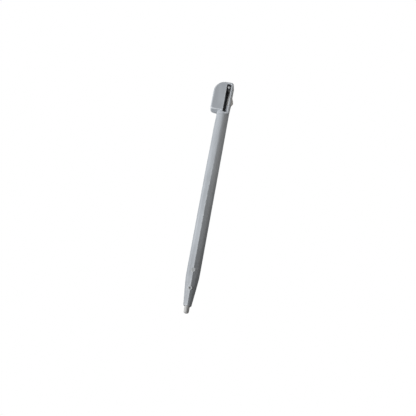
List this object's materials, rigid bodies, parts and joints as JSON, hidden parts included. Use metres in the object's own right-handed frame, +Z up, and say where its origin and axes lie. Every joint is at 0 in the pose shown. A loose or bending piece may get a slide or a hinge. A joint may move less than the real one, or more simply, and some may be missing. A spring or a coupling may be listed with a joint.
{
  "type": "touch-screen stylus",
  "caption": "Grey plastic touch-screen stylus: faceted barrel, tapered nose with a round nib, and a flat overhanging head with a springy detent nub in its slot.",
  "frame": {"origin": "centre of the bounding box's bottom face, with the stylus lying on its back on a surface", "axes": "+Y from the nib to the head, +Z up out of the slotted front face, +X towards the side that the detent nub stands out of"},
  "size_m": [0.0076, 0.087, 0.0048],
  "materials": {
    "body_plastic": "satin, fine moulded grain",
    "nib_plastic": "smooth, slightly worn at the tip",
    "leaf_plastic": "smooth, slippery",
    "dowel_plastic": "satin",
    "pin_steel": "plain turned steel"
  },
  "bodies": {
    "stylus": {"barrel": "body_plastic", "head_shell": "body_plastic", "head_back_cover": "body_plastic", "nib": "nib_plastic", "nib_dowels": "dowel_plastic", "anchor_pin": "pin_steel"},
    "detent": {"detent_leaf": "leaf_plastic"}
  },
  "joints": [
    {"name": "detent_flex", "type": "hinge", "parent": "stylus", "child": "detent", "pos_m": [0.00158, 0.04166, 0.0022], "axis": [0, 0, -1], "range_deg": [0, 7], "stiffness_Nm_per_rad": 0.064}
  ]
}
